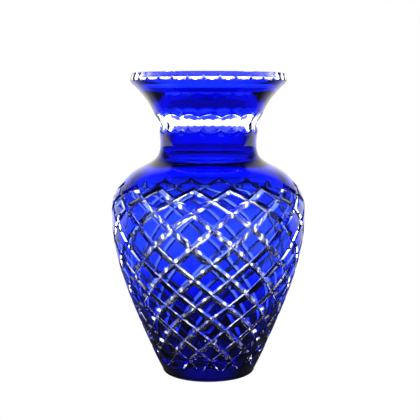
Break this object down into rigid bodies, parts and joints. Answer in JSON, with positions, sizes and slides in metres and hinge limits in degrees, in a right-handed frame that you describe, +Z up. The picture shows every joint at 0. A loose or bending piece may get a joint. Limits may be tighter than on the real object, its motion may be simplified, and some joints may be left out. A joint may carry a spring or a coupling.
{
  "type": "cut crystal vase",
  "caption": "Footed baluster vase in clear crystal with a cobalt-blue casing, diamond-cut belly, fluted neck and faceted rim.",
  "frame": {"origin": "centre of the foot, on the table", "axes": "+Z up along the vase's axis of symmetry; -Y is the side seen first"},
  "size_m": [0.1926, 0.1926, 0.3],
  "materials": {
    "clear_crystal": "polished lead crystal, clear",
    "cobalt_casing": "polished transparent cobalt-blue overlay glass"
  },
  "bodies": {
    "root": {"crystal_body": "clear_crystal", "rim_casing": "cobalt_casing", "shoulder_casing": "cobalt_casing", "diamond_row_12": "cobalt_casing", "diamond_row_11": "cobalt_casing", "diamond_row_10": "cobalt_casing", "diamond_row_9": "cobalt_casing", "diamond_row_8": "cobalt_casing", "diamond_row_7": "cobalt_casing", "diamond_row_6": "cobalt_casing", "diamond_row_5": "cobalt_casing", "diamond_row_4": "cobalt_casing", "diamond_row_3": "cobalt_casing", "diamond_row_2": "cobalt_casing", "diamond_row_1": "cobalt_casing", "foot_casing": "cobalt_casing"}
  },
  "joints": []
}
